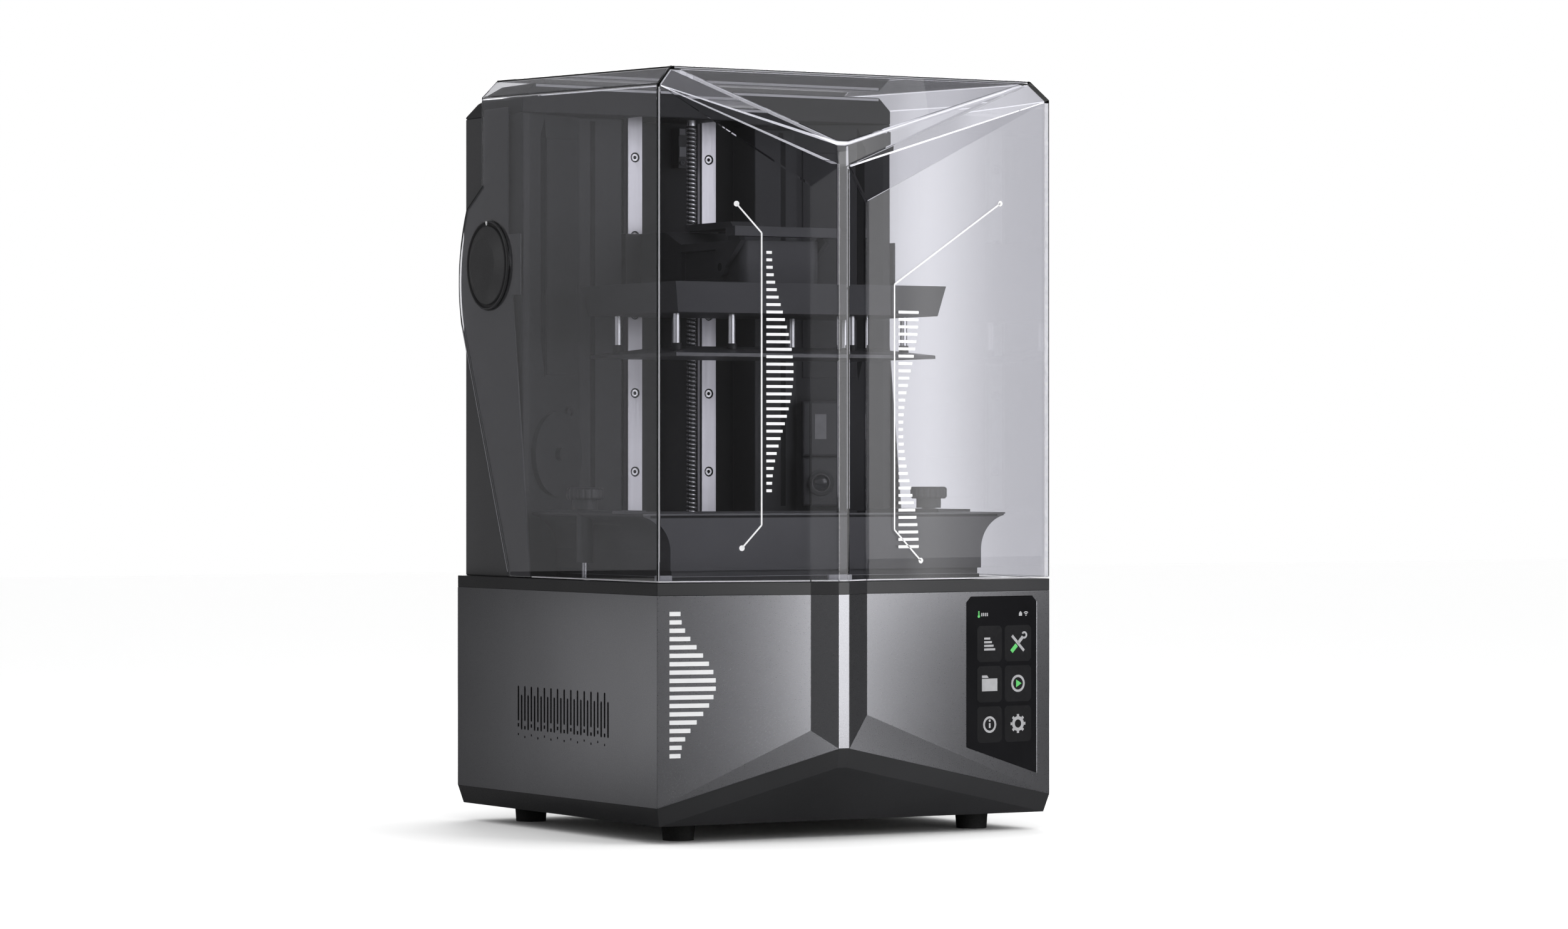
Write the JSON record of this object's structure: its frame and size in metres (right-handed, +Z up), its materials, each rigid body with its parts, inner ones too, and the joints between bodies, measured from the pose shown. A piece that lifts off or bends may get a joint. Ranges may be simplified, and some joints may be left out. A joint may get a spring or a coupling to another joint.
{
  "type": "resin printer",
  "caption": "Desktop resin printer with a faceted clear lid on a rear hinge, a lead-screw build platform on twin rails, a resin vat with thumb knobs and a touch screen in a ridged base.",
  "frame": {"origin": "centre of the outline on the plane the rubber feet stand on", "axes": "+Z up, front with the touch screen towards -Y, +X to the right seen from the front"},
  "size_m": [0.3344, 0.338, 0.5485],
  "materials": {
    "graphite_paint": "satin metallic",
    "dark_trim": "satin",
    "housing": "satin",
    "clear_lid": "clear smoky gloss",
    "smoke_plastic": "gloss",
    "rubber": "matt",
    "black_glass": "polished",
    "cast_aluminium": "dark anodised",
    "bare_aluminium": "bead blasted",
    "steel": "ground",
    "chrome": "polished",
    "black_plastic": "matt",
    "film": "clear",
    "board": "solder mask"
  },
  "bodies": {
    "printer": {"front_fascia": "graphite_paint", "left_side_panel": "graphite_paint", "right_side_panel": "graphite_paint", "rear_panel": "graphite_paint", "top_deck": "dark_trim", "base_tray": "dark_trim", "hinge_hub_left": "dark_trim", "hinge_hub_right": "dark_trim", "tower_left": "housing", "tower_right": "housing", "tower_back": "housing", "filter_cover": "housing", "camera_housing": "housing", "lamp_housing": "housing", "rubber_feet": "rubber", "screen_glass": "black_glass", "lcd_glass": "black_glass", "camera_lens": "black_glass", "resin_vat": "bare_aluminium", "film_frame": "bare_aluminium", "column_plate": "bare_aluminium", "heat_sink": "bare_aluminium", "upper_bearing": "bare_aluminium", "motor_mount": "bare_aluminium", "light_hood": "bare_aluminium", "left_rail": "steel", "right_rail": "steel", "usb_socket": "steel", "lcd_bezel": "black_plastic", "screen_module": "black_plastic", "fan_frame": "black_plastic", "power_inlet": "black_plastic", "switch_frame": "black_plastic", "end_stop": "black_plastic", "z_motor": "black_plastic", "vat_film": "film", "lamp_window": "film", "main_board": "board", "lamp_board": "board"},
    "lid": {"lid_shell": "clear_lid", "lid_arm_left": "smoke_plastic", "lid_arm_right": "smoke_plastic"},
    "carriage": {"carriage_plate": "cast_aluminium", "guide_blocks": "steel", "lift_arm": "cast_aluminium", "screw_nut": "steel", "arm_handle": "cast_aluminium", "clamp_pin": "steel", "build_head": "cast_aluminium"},
    "clamp": {"clamp_bail": "cast_aluminium"},
    "plate": {"build_plate": "bare_aluminium", "plate_posts": "chrome", "post_collars": "cast_aluminium"},
    "screw": {"lead_screw": "steel", "shaft_coupling": "steel"},
    "knob_left": {"vat_knob_left": "cast_aluminium"},
    "knob_right": {"vat_knob_right": "cast_aluminium"},
    "fan": {"fan_rotor": "black_plastic"},
    "rocker": {"power_rocker": "black_plastic"}
  },
  "joints": [
    {"name": "lid_hinge", "type": "hinge", "parent": "printer", "child": "lid", "pos_m": [0, 0.119, 0.411], "axis": [-1, 0, 0], "range_deg": [0, 75]},
    {"name": "z_lift", "type": "slide", "parent": "printer", "child": "carriage", "axis": [0, 0, 1], "range_m": [-0.155, 0.065]},
    {"name": "screw_spin", "type": "hinge", "parent": "printer", "child": "screw", "pos_m": [0, 0.1035, 0.3], "axis": [0, 0, 1], "range_deg": [-6996, 2946]},
    {"name": "clamp_hinge", "type": "hinge", "parent": "carriage", "child": "clamp", "pos_m": [0, -0.006, 0.408], "axis": [-1, 0, 0], "range_deg": [0, 60]},
    {"name": "plate_float", "type": "slide", "parent": "carriage", "child": "plate", "axis": [0, 0, 1], "range_m": [0, 0.003], "stiffness_N_per_m": 3000, "springref_m": -0.004},
    {"name": "knob_left_turn", "type": "hinge", "parent": "printer", "child": "knob_left", "pos_m": [-0.1437, -0.0016, 0.24], "axis": [0, 0, 1], "continuous": true},
    {"name": "knob_right_turn", "type": "hinge", "parent": "printer", "child": "knob_right", "pos_m": [0.1437, -0.0016, 0.24], "axis": [0, 0, 1], "continuous": true},
    {"name": "fan_spin", "type": "hinge", "parent": "printer", "child": "fan", "pos_m": [-0.155, 0.0015, 0.087], "axis": [1, 0, 0], "continuous": true},
    {"name": "rocker_tilt", "type": "hinge", "parent": "printer", "child": "rocker", "pos_m": [0.084, 0.166, 0.062], "axis": [-1, 0, 0], "range_deg": [0, 16]}
  ],
  "couplings": [
    {"joint": "screw_spin", "follows": "z_lift", "rad_per_m": 785.4}
  ]
}
